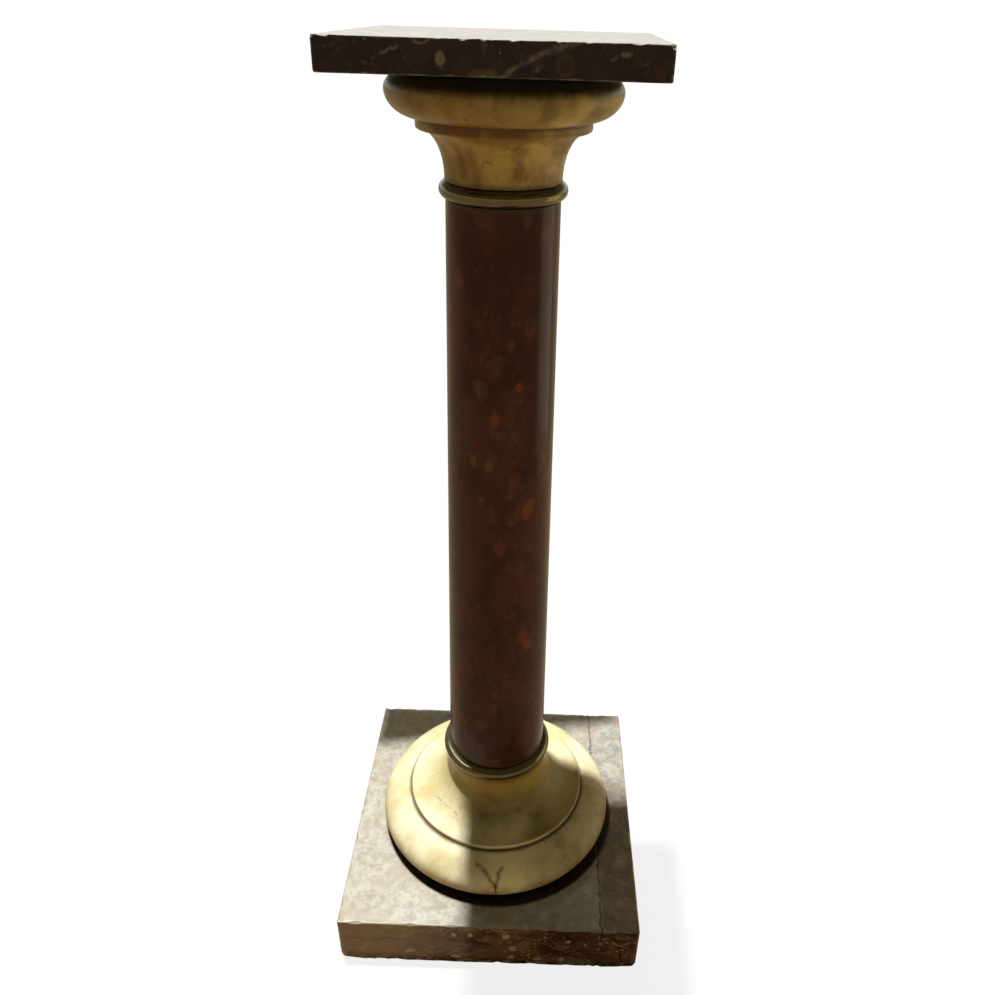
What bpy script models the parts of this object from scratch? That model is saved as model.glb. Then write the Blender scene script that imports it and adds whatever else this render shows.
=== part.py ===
# Marble pedestal column in five stone pieces with two brass rings, standing on its plinth.
# Metres, +Z up, origin at the middle of the plinth's underside, front towards -Y.

import math

import bmesh
import bpy

# Gap left between pieces that rest on or fit into each other
seat_gap = 0.0003

# Square plinth
plinth_width = 0.378
plinth_thickness = 0.0717
plinth_arris = 0.003

# Turned base: a wide torus, a fillet and a flare that narrows to the neck
base_torus_radius = 0.156
base_torus_reach = 0.044
base_torus_lower = 0.0210
base_torus_upper = 0.0312
base_fillet_radius = 0.117
base_fillet_height = 0.0062
base_fillet_round = 0.0020
base_flare_height = 0.0581
base_neck_height = 0.0050
base_neck_proud = 0.0022

# Shaft, between the two rings
shaft_length = 0.7052
shaft_foot_radius = 0.0626
shaft_top_radius = 0.0565

# Brass rings, each dropped over spigots turned on the stones that meet inside it
lower_ring_height = 0.0180
lower_ring_proud = 0.0081
upper_ring_height = 0.0162
upper_ring_proud = 0.0065
ring_seat_width = 0.0115
bead_tuck = 0.0015

# Turned capital: neck, flare, fillet and torus, the base turned upside down at a smaller size
capital_neck_proud = 0.0006
capital_neck_height = 0.0020
capital_flare_height = 0.0440
capital_fillet_radius = 0.0835
capital_fillet_height = 0.0093
capital_fillet_round = 0.0025
capital_torus_radius = 0.111
capital_torus_reach = 0.031
capital_torus_lower = 0.0246
capital_torus_upper = 0.0187

# Square top slab, laid slightly out of line with the plinth
slab_width = 0.280
slab_thickness = 0.027
slab_arris = 0.0012
slab_twist = math.radians(-1.8)

# Fineness of the turning
turn_steps = 56
quarter_points = 6
round_points = 3

# Heights of the seats, from the floor up
base_bottom = plinth_thickness + seat_gap
base_torus_middle = base_bottom + base_torus_lower
base_fillet_bottom = base_torus_middle + base_torus_upper
base_fillet_top = base_fillet_bottom + base_fillet_height
base_flare_top = base_fillet_top + base_flare_height
base_shoulder = base_flare_top + base_neck_height
lower_ring_bottom = base_shoulder + seat_gap
lower_ring_top = lower_ring_bottom + lower_ring_height
shaft_bottom = lower_ring_top + seat_gap
shaft_top = shaft_bottom + shaft_length
upper_ring_bottom = shaft_top + seat_gap
upper_ring_top = upper_ring_bottom + upper_ring_height
capital_bottom = upper_ring_top + seat_gap
capital_flare_bottom = capital_bottom + capital_neck_height
capital_fillet_bottom = capital_flare_bottom + capital_flare_height
capital_fillet_top = capital_fillet_bottom + capital_fillet_height
capital_torus_middle = capital_fillet_top + capital_torus_lower
capital_top = capital_torus_middle + capital_torus_upper
slab_bottom = capital_top + seat_gap

# Radii that follow from the shaft and the rings
base_neck_radius = shaft_foot_radius + base_neck_proud
capital_neck_radius = shaft_top_radius + capital_neck_proud
lower_spigot_radius = shaft_foot_radius - ring_seat_width
upper_spigot_radius = shaft_top_radius - ring_seat_width


def clear_scene():
    for item in list(bpy.data.objects):
        bpy.data.objects.remove(item, do_unlink=True)


def make_collection(name):
    collection = bpy.data.collections.new(name)
    bpy.context.scene.collection.children.link(collection)
    return collection


def make_material(name, colour, roughness, metallic):
    material = bpy.data.materials.new(name)
    material.use_nodes = True
    shader = material.node_tree.nodes["Principled BSDF"]
    shader.inputs["Base Color"].default_value = (*colour, 1.0)
    shader.inputs["Roughness"].default_value = roughness
    shader.inputs["Metallic"].default_value = metallic
    return material


def arc(middle, reach, rise, start, end, points):
    """Points of an elliptic arc in the radius and height plane, angles in degrees."""
    curve = []
    for step in range(points + 1):
        angle = math.radians(start + (end - start) * step / points)
        radius = middle[0] + reach * math.cos(angle)
        height = middle[1] + rise * math.sin(angle)
        curve.append((radius, height))
    return curve


def turned(name, profile, material, collection):
    """A piece turned about Z from a profile that runs down its outer side."""
    mesh = bpy.data.meshes.new(name)
    edges = [(index, index + 1) for index in range(len(profile) - 1)]
    mesh.from_pydata([(radius, 0.0, height) for radius, height in profile], edges, [])
    piece = bpy.data.objects.new(name, mesh)
    collection.objects.link(piece)
    piece.data.materials.append(material)
    screw = piece.modifiers.new("turning", "SCREW")
    screw.axis = "Z"
    screw.steps = turn_steps
    screw.render_steps = turn_steps
    screw.use_merge_vertices = True
    screw.merge_threshold = 0.00005
    screw.use_smooth_shade = True
    return piece


def square_slab(name, width, thickness, arris, bottom, twist, material, collection):
    """A square slab with its edges eased, its underside at the height given."""
    mesh = bpy.data.meshes.new(name)
    block = bmesh.new()
    bmesh.ops.create_cube(block, size=1.0)
    bmesh.ops.scale(block, vec=(width, width, thickness), verts=block.verts)
    block.to_mesh(mesh)
    block.free()
    piece = bpy.data.objects.new(name, mesh)
    collection.objects.link(piece)
    piece.data.materials.append(material)
    piece.location = (0.0, 0.0, bottom + thickness / 2)
    piece.rotation_euler = (0.0, 0.0, twist)
    easing = piece.modifiers.new("eased edges", "BEVEL")
    easing.width = arris
    easing.segments = 2
    easing.limit_method = "ANGLE"
    return piece


def torus_end_angle(fillet_radius, torus_radius, torus_reach):
    """Angle from level at which the torus meets the upright side of its fillet."""
    share = (fillet_radius - (torus_radius - torus_reach)) / torus_reach
    return math.degrees(math.acos(share))


def base_profile():
    """Spigot, neck, flare, fillet and torus, from the top down."""
    spigot_top = lower_ring_bottom + lower_ring_height / 2 - seat_gap / 2
    flare_foot = base_fillet_radius - base_fillet_round
    torus_middle = base_torus_radius - base_torus_reach
    meeting = torus_end_angle(base_fillet_radius, base_torus_radius, base_torus_reach)
    meeting_height = base_torus_upper * math.sin(math.radians(meeting))
    profile = [(0.0, spigot_top), (lower_spigot_radius, spigot_top)]
    profile += [(lower_spigot_radius, base_shoulder), (base_neck_radius, base_shoulder)]
    flare_reach = flare_foot - base_neck_radius
    profile += arc((flare_foot, base_flare_top), flare_reach, base_flare_height, 180, 270, quarter_points + 2)
    round_middle = (flare_foot, base_fillet_top - base_fillet_round)
    profile += arc(round_middle, base_fillet_round, base_fillet_round, 90, 0, round_points)[1:]
    profile += [(base_fillet_radius, base_torus_middle + meeting_height)]
    torus = (torus_middle, base_torus_middle)
    profile += arc(torus, base_torus_reach, base_torus_upper, meeting, 0, quarter_points)[1:]
    profile += arc(torus, base_torus_reach, base_torus_lower, 0, -90, quarter_points)[1:]
    return profile + [(0.0, base_bottom)]


def capital_profile():
    """Torus, fillet, flare, neck and spigot, from the top down."""
    spigot_bottom = upper_ring_bottom + upper_ring_height / 2 + seat_gap / 2
    flare_head = capital_fillet_radius - capital_fillet_round
    torus_middle = capital_torus_radius - capital_torus_reach
    meeting = torus_end_angle(capital_fillet_radius, capital_torus_radius, capital_torus_reach)
    torus = (torus_middle, capital_torus_middle)
    profile = [(0.0, capital_top)]
    profile += arc(torus, capital_torus_reach, capital_torus_upper, 90, 0, quarter_points)
    profile += arc(torus, capital_torus_reach, capital_torus_lower, 0, -meeting, quarter_points)[1:]
    round_middle = (flare_head, capital_fillet_bottom + capital_fillet_round)
    profile += arc(round_middle, capital_fillet_round, capital_fillet_round, 0, -90, round_points)
    flare = (flare_head, capital_flare_bottom)
    flare_reach = flare_head - capital_neck_radius
    profile += arc(flare, flare_reach, capital_flare_height, 90, 180, quarter_points + 2)[1:]
    profile += [(capital_neck_radius, capital_bottom), (upper_spigot_radius, capital_bottom)]
    return profile + [(upper_spigot_radius, spigot_bottom), (0.0, spigot_bottom)]


def shaft_profile():
    """Tapered shaft with a spigot at each end."""
    spigot_top = upper_ring_bottom + upper_ring_height / 2 - seat_gap / 2
    spigot_bottom = lower_ring_bottom + lower_ring_height / 2 + seat_gap / 2
    profile = [(0.0, spigot_top), (upper_spigot_radius, spigot_top)]
    profile += [(upper_spigot_radius, shaft_top), (shaft_top_radius, shaft_top)]
    profile += [(shaft_foot_radius, shaft_bottom), (lower_spigot_radius, shaft_bottom)]
    return profile + [(lower_spigot_radius, spigot_bottom), (0.0, spigot_bottom)]


def ring_profile(bottom, height, stone_radius, proud, spigot_radius):
    """Closed section of a ring: a round bead outside and a plain bore."""
    bore = spigot_radius + seat_gap
    bead = (stone_radius - bead_tuck, bottom + height / 2)
    profile = [(bore, bottom + height)]
    profile += arc(bead, proud + bead_tuck, height / 2, 90, -90, quarter_points)
    return profile + [(bore, bottom), (bore, bottom + height)]


def make_column():
    clear_scene()
    parts = make_collection("marble_pedestal_column")

    fossil_marble = make_material("fossil_marble", (0.055, 0.034, 0.025), 0.35, 0.0)
    siena_marble = make_material("siena_marble", (0.42, 0.31, 0.14), 0.32, 0.0)
    red_marble = make_material("red_marble", (0.045, 0.018, 0.012), 0.22, 0.0)
    aged_brass = make_material("aged_brass", (0.16, 0.13, 0.07), 0.42, 1.0)

    square_slab("plinth", plinth_width, plinth_thickness, plinth_arris, 0.0, 0.0, fossil_marble, parts)
    turned("base", base_profile(), siena_marble, parts)
    lower_ring = ring_profile(
        lower_ring_bottom, lower_ring_height, shaft_foot_radius, lower_ring_proud, lower_spigot_radius
    )
    turned("lower_ring", lower_ring, aged_brass, parts)
    turned("shaft", shaft_profile(), red_marble, parts)
    upper_ring = ring_profile(
        upper_ring_bottom, upper_ring_height, shaft_top_radius, upper_ring_proud, upper_spigot_radius
    )
    turned("upper_ring", upper_ring, aged_brass, parts)
    turned("capital", capital_profile(), siena_marble, parts)
    square_slab(
        "top_slab", slab_width, slab_thickness, slab_arris, slab_bottom, slab_twist, fossil_marble, parts
    )


make_column()
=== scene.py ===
import math
import random

import bmesh
import bpy
from mathutils import Matrix, Vector, kdtree, noise


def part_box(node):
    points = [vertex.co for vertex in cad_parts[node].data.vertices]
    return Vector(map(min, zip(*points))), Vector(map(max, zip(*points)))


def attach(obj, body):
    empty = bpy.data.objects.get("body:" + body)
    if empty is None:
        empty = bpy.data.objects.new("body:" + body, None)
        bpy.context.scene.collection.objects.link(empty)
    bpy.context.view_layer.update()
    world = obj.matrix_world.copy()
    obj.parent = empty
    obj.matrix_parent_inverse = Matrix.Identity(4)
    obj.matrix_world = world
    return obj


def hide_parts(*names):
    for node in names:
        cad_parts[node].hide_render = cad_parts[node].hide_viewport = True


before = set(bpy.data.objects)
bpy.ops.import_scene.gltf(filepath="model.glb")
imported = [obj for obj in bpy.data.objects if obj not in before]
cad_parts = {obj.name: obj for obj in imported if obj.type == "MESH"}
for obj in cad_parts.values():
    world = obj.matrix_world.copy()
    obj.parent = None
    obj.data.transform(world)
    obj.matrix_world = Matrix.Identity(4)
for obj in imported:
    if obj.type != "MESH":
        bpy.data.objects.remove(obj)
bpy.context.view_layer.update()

# The studio. The camera stands close, level with the slab, and looks down to the plinth. A high
# lamp behind the left shoulder of the column throws the slab's shadow down over the base. The
# floor is plain and pale.
picture_side = 995
focal_in_pixels = 878.7
optical_centre = (526.4, 477.5)
picture_centre = (497.0, 497.5)
camera_place = (0.0368, -0.8822, 1.0861)
camera_yaw = math.radians(0.43)
camera_pitch = math.radians(-28.47)
camera_roll = math.radians(-1.63)

camera_data = bpy.data.cameras.new("camera")
camera_data.sensor_width = 36.0
camera_data.lens = camera_data.sensor_width * focal_in_pixels / picture_side
camera_data.shift_x = (picture_centre[0] - optical_centre[0]) / picture_side
camera_data.shift_y = (optical_centre[1] - picture_centre[1]) / picture_side
camera_data.clip_end = 200.0
camera = bpy.data.objects.new("camera", camera_data)
bpy.context.scene.collection.objects.link(camera)
camera.matrix_world = (
    Matrix.Translation(camera_place)
    @ Matrix.Rotation(camera_yaw, 4, "Z")
    @ Matrix.Rotation(camera_pitch, 4, "X")
    @ Matrix.Rotation(camera_roll, 4, "Y")
    @ Matrix.Rotation(math.radians(90), 4, "X")
)
bpy.context.scene.camera = camera
bpy.context.scene.view_settings.view_transform = "Standard"


def put(tree, kind, sockets=None, **settings):
    """A shader node with its settings made and its sockets filled or wired."""
    made = tree.nodes.new(kind)
    for name, value in settings.items():
        setattr(made, name, value)
    for name, value in (sockets or {}).items():
        if isinstance(value, bpy.types.NodeSocket):
            tree.links.new(value, made.inputs[name])
        else:
            made.inputs[name].default_value = value
    return made


def work(tree, operation, *values, clamp=False):
    """The result of a Math node."""
    sockets = dict(enumerate(values))
    return put(tree, "ShaderNodeMath", sockets, operation=operation, use_clamp=clamp).outputs[0]


def times(tree, first, second):
    """Two values or masks multiplied."""
    return work(tree, "MULTIPLY", first, second)


def ramp(tree, value, low, high, at_low=0.0, at_high=1.0, kind="LINEAR"):
    """A value carried over from the span between low and high to another span, and held there."""
    span = {0: value, 1: low, 2: high, 3: at_low, 4: at_high}
    return put(tree, "ShaderNodeMapRange", span, interpolation_type=kind).outputs[0]


def ease(tree, value, low, high, at_low=0.0, at_high=1.0):
    """A ramp with soft ends."""
    return ramp(tree, value, low, high, at_low, at_high, "SMOOTHSTEP")


def axes(tree, place):
    """The X, Y and Z of a place."""
    return put(tree, "ShaderNodeSeparateXYZ", {0: place}).outputs


def mix(tree, share, first, second):
    """Two colours mixed."""
    sockets = {0: share, 6: first, 7: second}
    return put(tree, "ShaderNodeMix", sockets, data_type="RGBA").outputs[2]


def empty_material(name):
    """A material with no nodes at all, its shader and output still to be added."""
    material = bpy.data.materials.new(name)
    material.use_nodes = True
    material.node_tree.nodes.clear()
    return material, material.node_tree


def finish_material(tree, sockets):
    """The shader of a material and its output."""
    shader = put(tree, "ShaderNodeBsdfPrincipled", sockets)
    put(tree, "ShaderNodeOutputMaterial", {"Surface": shader.outputs["BSDF"]})


floor_side = 380.0
floor_seen = (0.08, 0.08, 0.080, 1.0)
floor_bounce = (0.235, 0.196, 0.130, 1.0)
floor_glow = (1.0, 1.0, 0.99, 1.0)
floor_glow_strength = 0.85
floor_shape = bmesh.new()
bmesh.ops.create_grid(floor_shape, x_segments=1, y_segments=1, size=floor_side / 2)
floor_mesh = bpy.data.meshes.new("floor")
floor_shape.to_mesh(floor_mesh)
floor_shape.free()
floor = bpy.data.objects.new("floor", floor_mesh)
bpy.context.scene.collection.objects.link(floor)
floor_material, floor_tree = empty_material("pale floor")
straight_view = put(floor_tree, "ShaderNodeLightPath").outputs["Is Camera Ray"]
floor_tone = mix(floor_tree, straight_view, floor_bounce, floor_seen)
glow = mix(floor_tree, straight_view, (0.0, 0.0, 0.0, 1.0), floor_glow)
finish_material(floor_tree, {
    "Base Color": floor_tone, "Roughness": 0.9, "Specular IOR Level": 0.1,
    "Emission Color": glow, "Emission Strength": floor_glow_strength,
})
floor_material.cycles.emission_sampling = "NONE"
floor_mesh.materials.append(floor_material)

# The high lamp: a sun a little softer than the real one
key_direction = Vector((-0.106, 0.121, 0.94))
key_strength = 6.0
key_width = math.radians(1.6)
key_data = bpy.data.lights.new("key", "SUN")
key_data.energy = key_strength
key_data.angle = key_width
key_data.color = (1.0, 0.985, 0.95)
key = bpy.data.objects.new("key", key_data)
key.rotation_euler = key_direction.to_track_quat("Z", "Y").to_euler()
bpy.context.scene.collection.objects.link(key)

# A card out of the picture, seen by no ray but the key's, that keeps the key off the back edge
# of the plinth, which lies in shade in the photo
card_height = 1.30
card_corners = [(-0.3335, 0.2644), (0.0455, 0.3319), (0.0455, 0.3561), (-0.3335, 0.3561)]
card_shape = bmesh.new()
card_shape.faces.new([card_shape.verts.new((x, y, card_height)) for x, y in card_corners])
card_mesh = bpy.data.meshes.new("card")
card_shape.to_mesh(card_mesh)
card_shape.free()
card = bpy.data.objects.new("card", card_mesh)
bpy.context.scene.collection.objects.link(card)
card.visible_camera = False
card.visible_diffuse = False
card.visible_glossy = False
card_material, card_tree = empty_material("card")
finish_material(card_tree, {"Base Color": (0.5, 0.5, 0.5, 1.0), "Roughness": 0.9})
card_mesh.materials.append(card_material)

wall_light = (1.0, 1.0, 0.98, 1.0)
ceiling_light = (0.165, 0.133, 0.073, 1.0)
backdrop = (1.0, 1.0, 0.99, 1.0)
room_light = bpy.data.worlds.new("room light")
room_light.use_nodes = True
sky = room_light.node_tree
direction = axes(sky, put(sky, "ShaderNodeTexCoord").outputs["Generated"])
behind = ease(sky, direction["Y"], -0.1, 0.7, 1.0, 0.42)
height = times(sky, work(sky, "ABSOLUTE", direction["Z"]), behind)
overhead = ease(sky, height, 0.03, 0.14)
mixed = mix(sky, overhead, wall_light, ceiling_light)
seen = mix(sky, put(sky, "ShaderNodeLightPath").outputs["Is Camera Ray"], mixed, backdrop)
sky.links.new(seen, sky.nodes["Background"].inputs["Color"])
bpy.context.scene.world = room_light

# Two soft lamps: one high behind the column, one low on its right
window_width = 0.45
window_power = 4.0
window_data = bpy.data.lights.new("window", "AREA")
window_data.shape = "SQUARE"
window_data.size = window_width
window_data.energy = window_power
window_data.color = (1.0, 0.92, 0.76)
window = bpy.data.objects.new("window", window_data)
window.location = (-0.35, 1.35, 2.25)
window.rotation_euler = window.location.to_track_quat("Z", "Y").to_euler()
bpy.context.scene.collection.objects.link(window)

fill_width = 1.0
fill_power = 2.8
fill_data = bpy.data.lights.new("fill", "AREA")
fill_data.shape = "SQUARE"
fill_data.size = fill_width
fill_data.energy = fill_power
fill_data.color = (1.0, 0.88, 0.68)
fill = bpy.data.objects.new("fill", fill_data)
fill.location = (1.45, 0.35, 0.42)
fill.rotation_euler = (fill.location - Vector((0.0, 0.0, 0.60))).to_track_quat("Z", "Y").to_euler()
bpy.context.scene.collection.objects.link(fill)

# A long soft lamp on the left that only gleams in the polish of the lower ring
gleam_width = 1.7
gleam_height = 0.5
gleam_power = 15.0
gleam_data = bpy.data.lights.new("gleam", "AREA")
gleam_data.shape = "RECTANGLE"
gleam_data.size = gleam_width
gleam_data.size_y = gleam_height
gleam_data.energy = gleam_power
gleam_data.color = (0.84, 0.94, 1.0)
gleam = bpy.data.objects.new("gleam", gleam_data)
gleam.location = (-1.30, 0.05, 1.20)
gleam.rotation_euler = (gleam.location - Vector((0.0, 0.0, 0.2))).to_track_quat("Z", "Y").to_euler()
gleam.visible_diffuse = False
bpy.context.scene.collection.objects.link(gleam)


# The plinth: one sawn and polished block of dark red-brown fossil marble. Its arrises are worn
# and chipped, a pitted crack runs from back to front near its right side, and a second one
# climbs the front face from the floor.
plinth_low, plinth_high = (Vector(corner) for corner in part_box("plinth"))
plinth_width = plinth_high.x - plinth_low.x
plinth_thickness = plinth_high.z - plinth_low.z
plinth_cuts = 109
plinth_arris = 0.0023
plinth_corner_wear = 0.0060
crack_x = 0.141
crack_end_z = 0.047
second_crack_x = 0.1675
second_crack_top_z = 0.041


def crowded_lines(width, count, places, reach, crowding):
    """Positions across a width, closer together within reach of each place."""
    samples = 4000
    weights = []
    for step in range(samples):
        at = (step + 0.5) / samples * width - width / 2
        near = any(abs(at - place) < reach for place in places)
        weights.append(crowding if near else 1.0)
    total = sum(weights)
    lines = [-width / 2]
    passed = 0.0
    for step, weight in enumerate(weights):
        passed += weight
        while len(lines) < count and passed >= total * len(lines) / count:
            lines.append((step + 0.5) / samples * width - width / 2)
    return lines + [width / 2]


def sawn_block(cuts, lines):
    """A block cut into a grid of squares whose lines stand where the lists say."""
    block = bmesh.new()
    bmesh.ops.create_cube(block, size=1.0)
    bmesh.ops.subdivide_edges(block, edges=block.edges[:], cuts=cuts, use_grid_fill=True)
    for corner in block.verts:
        for axis in range(3):
            line = round((corner.co[axis] + 0.5) * (cuts + 1))
            corner.co[axis] = lines[axis][line]
    return block


def wear_arrises(block, size, rounding, corner_wear, wear):
    """Rounds the edges and corners of a block unevenly, as handling and cleaning do."""
    half = Vector(size) / 2
    for corner in block.verts:
        uneven = noise.noise(corner.co * 55.0) + 0.5 * noise.noise(corner.co * 190.0)
        to_corner = math.hypot(half.x - abs(corner.co.x), half.y - abs(corner.co.y))
        radius = rounding * max(0.40, 0.80 + 0.45 * uneven)
        low = 0.5 - corner.co.z / size[2]
        radius += corner_wear * low * max(0.0, 1.0 - to_corner / (5.0 * corner_wear))
        inner = half - Vector((radius, radius, radius))
        kept = Vector(max(-inner[axis], min(inner[axis], corner.co[axis])) for axis in range(3))
        outward = corner.co - kept
        if sum(abs(part) > 1e-7 for part in outward) > 1:
            corner.co = kept + outward.normalized() * radius
            corner[wear] = max(0.0, min(1.0, 0.45 + 0.9 * uneven))


def edge_places(size, rng, spacing):
    """Random places along the twelve edges of a block, each with the way out of the block."""
    half = Vector(size) / 2
    for along in range(3):
        across = [axis for axis in range(3) if axis != along]
        for side_a in (-1, 1):
            for side_b in (-1, 1):
                for _ in range(round(size[along] / spacing)):
                    place = Vector((0.0, 0.0, 0.0))
                    place[along] = rng.uniform(-half[along], half[along])
                    place[across[0]] = side_a * half[across[0]]
                    place[across[1]] = side_b * half[across[1]]
                    way = Vector((0.0, 0.0, 0.0))
                    way[across[0]] = side_a * rng.uniform(0.4, 1.0)
                    way[across[1]] = side_b * rng.uniform(0.4, 1.0)
                    yield place, way.normalized()


def strike_chips(block, size, chips, wear):
    """Takes a shell-shaped chip out of the block at each place: a ball's worth of stone."""
    half = Vector(size) / 2
    block.verts.ensure_lookup_table()
    tree = kdtree.KDTree(len(block.verts))
    for index, corner in enumerate(block.verts):
        tree.insert(corner.co, index)
    tree.balance()
    for place, way, depth, radius in chips:
        middle = place + way * (radius - depth)
        for _, index, _ in tree.find_range(middle, radius):
            corner = block.verts[index]
            from_middle = corner.co - middle
            ragged = radius * (1.0 + 0.10 * noise.noise(corner.co * 700.0))
            if from_middle.length < ragged:
                sunk = ragged - from_middle.length
                struck = middle + from_middle.normalized() * ragged
                corner.co = Vector(max(-half[axis], min(half[axis], struck[axis])) for axis in range(3))
                corner[wear] = max(corner[wear], min(1.0, sunk / 0.0005))


def open_crack(block, start, end, inward, width, depth):
    """Sinks a narrow ragged groove along the line from start to end."""
    wander = 0.0006
    line = end - start
    for corner in block.verts:
        share = (corner.co - start).dot(line) / line.length_squared
        if -0.01 <= share <= 1.01:
            aside = corner.co - (start + line * share)
            aside -= inward * aside.dot(inward)
            across = inward.cross(line).normalized()
            wander_now = wander * noise.noise(start + line * share * 9.0)
            distance = abs(aside.dot(across) - wander_now)
            surface_depth = abs((corner.co - start).dot(inward))
            if distance < width and surface_depth < 0.0015:
                ragged = 0.55 + 0.6 * noise.noise((start + line * share) * 160.0)
                sunk = depth * ragged * (1.0 - distance / width)
                corner.co += inward * max(0.0, sunk)


def mesh_piece(name, shape, sharp_angle=None):
    """The finished object of a bmesh, at the origin, shaded smooth, its normals outward."""
    bmesh.ops.recalc_face_normals(shape, faces=shape.faces[:])
    mesh = bpy.data.meshes.new(name)
    shape.to_mesh(mesh)
    shape.free()
    mesh.shade_smooth()
    if sharp_angle:
        mesh.set_sharp_from_angle(angle=sharp_angle)
    piece = bpy.data.objects.new(name, mesh)
    bpy.context.scene.collection.objects.link(piece)
    return piece


def vector_work(tree, operation, first, second):
    """The vector result of a Vector Math node."""
    return put(tree, "ShaderNodeVectorMath", {0: first, 1: second}, operation=operation).outputs["Vector"]


def make_streak_group():
    """Node group: a mask of a straight streak between two points, soft at its sides."""
    tree = bpy.data.node_groups.new("streak", "ShaderNodeTree")
    for name, kind in (("Vector", "NodeSocketVector"), ("Start", "NodeSocketVector"),
                       ("End", "NodeSocketVector"), ("Width", "NodeSocketFloat")):
        tree.interface.new_socket(name, in_out="INPUT", socket_type=kind)
    tree.interface.new_socket("Mask", in_out="OUTPUT", socket_type="NodeSocketFloat")
    given = tree.nodes.new("NodeGroupInput").outputs
    line = vector_work(tree, "SUBTRACT", given["End"], given["Start"])
    reach = vector_work(tree, "SUBTRACT", given["Vector"], given["Start"])
    along = put(tree, "ShaderNodeVectorMath", {0: reach, 1: line}, operation="DOT_PRODUCT")
    square = put(tree, "ShaderNodeVectorMath", {0: line, 1: line}, operation="DOT_PRODUCT")
    share = work(tree, "DIVIDE", along.outputs["Value"], square.outputs["Value"], clamp=True)
    nearest = put(tree, "ShaderNodeVectorMath", {0: line, "Scale": share}, operation="SCALE")
    nearest = nearest.outputs["Vector"]
    aside = put(tree, "ShaderNodeVectorMath", {0: reach, 1: nearest}, operation="DISTANCE")
    relative = work(tree, "DIVIDE", aside.outputs["Value"], given["Width"])
    mask = ease(tree, relative, 0.1, 1.0, 1.0, 0.0)
    put(tree, "NodeGroupOutput", {"Mask": mask})
    return tree


def make_shell_group():
    """Node group: a filled mask and a rim mask of an oval shell or crinoid section."""
    tree = bpy.data.node_groups.new("shell section", "ShaderNodeTree")
    for name in ("Vector", "Middle", "Radii"):
        tree.interface.new_socket(name, in_out="INPUT", socket_type="NodeSocketVector")
    for name in ("Disc", "Rim"):
        tree.interface.new_socket(name, in_out="OUTPUT", socket_type="NodeSocketFloat")
    given = tree.nodes.new("NodeGroupInput").outputs
    reach = vector_work(tree, "SUBTRACT", given["Vector"], given["Middle"])
    relative = vector_work(tree, "DIVIDE", reach, given["Radii"])
    distance = put(tree, "ShaderNodeVectorMath", {0: relative}, operation="LENGTH").outputs["Value"]
    disc = ease(tree, distance, 0.6, 1.05, 1.0, 0.0)
    off_rim = work(tree, "ABSOLUTE", work(tree, "SUBTRACT", distance, 0.8))
    rim = ease(tree, off_rim, 0.02, 0.3, 1.0, 0.0)
    put(tree, "NodeGroupOutput", {"Disc": disc, "Rim": rim})
    return tree


def cloud(tree, vector, scale, detail, rough=0.6):
    """A cloudy noise over a place."""
    return put(tree, "ShaderNodeTexNoise", {
        "Vector": vector, "Scale": scale, "Detail": detail, "Roughness": rough,
    })


def pushed(tree, place, push, amount):
    """A place pushed about by a noise, so that what follows it wanders."""
    push = vector_work(tree, "SUBTRACT", push.outputs["Color"], (0.5, 0.5, 0.5))
    push = put(tree, "ShaderNodeVectorMath", {0: push, "Scale": amount}, operation="SCALE")
    return vector_work(tree, "ADD", place, push.outputs["Vector"])


def lay_over(tree, share, under, over, strength=1.0):
    """The colour over laid on the colour under, where the mask share says."""
    if strength != 1.0:
        share = times(tree, share, strength)
    over = over if isinstance(over, bpy.types.NodeSocket) else (*over, 1.0)
    return mix(tree, share, under, over)


def most(tree, masks):
    """The strongest of several masks."""
    strongest = masks[0]
    for mask in masks[1:]:
        strongest = work(tree, "MAXIMUM", strongest, mask)
    return strongest


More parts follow.
